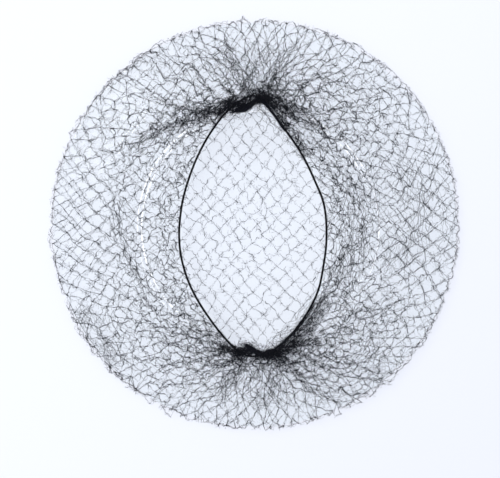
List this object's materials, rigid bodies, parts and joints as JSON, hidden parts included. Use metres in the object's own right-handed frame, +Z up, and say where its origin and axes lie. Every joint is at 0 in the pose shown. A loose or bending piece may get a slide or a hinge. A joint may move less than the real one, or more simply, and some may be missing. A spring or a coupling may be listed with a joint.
{
  "type": "wig net on a clear display plate",
  "caption": "Knotted hair net with an open elastic mouth and bunched ends, drawn like a pouch round an upturned clear round plate.",
  "frame": {"origin": "on the resting surface under the middle of the plate", "axes": "+X across the mouth to its right, +Y along the mouth to its far end, +Z up out of the mouth"},
  "size_m": [0.2186, 0.2186, 0.0313],
  "materials": {
    "clear_plastic": "clear moulded plastic, smooth and glossy",
    "black_net_yarn": "thin black nylon yarn, soft and slightly fuzzy",
    "black_elastic_yarn": "black covered elastic thread, matt"
  },
  "bodies": {
    "root": {"display_plate": "clear_plastic", "netting": "black_net_yarn", "elastic_edge": "black_elastic_yarn", "gather_top": "black_net_yarn", "gather_bottom": "black_net_yarn"}
  },
  "joints": []
}
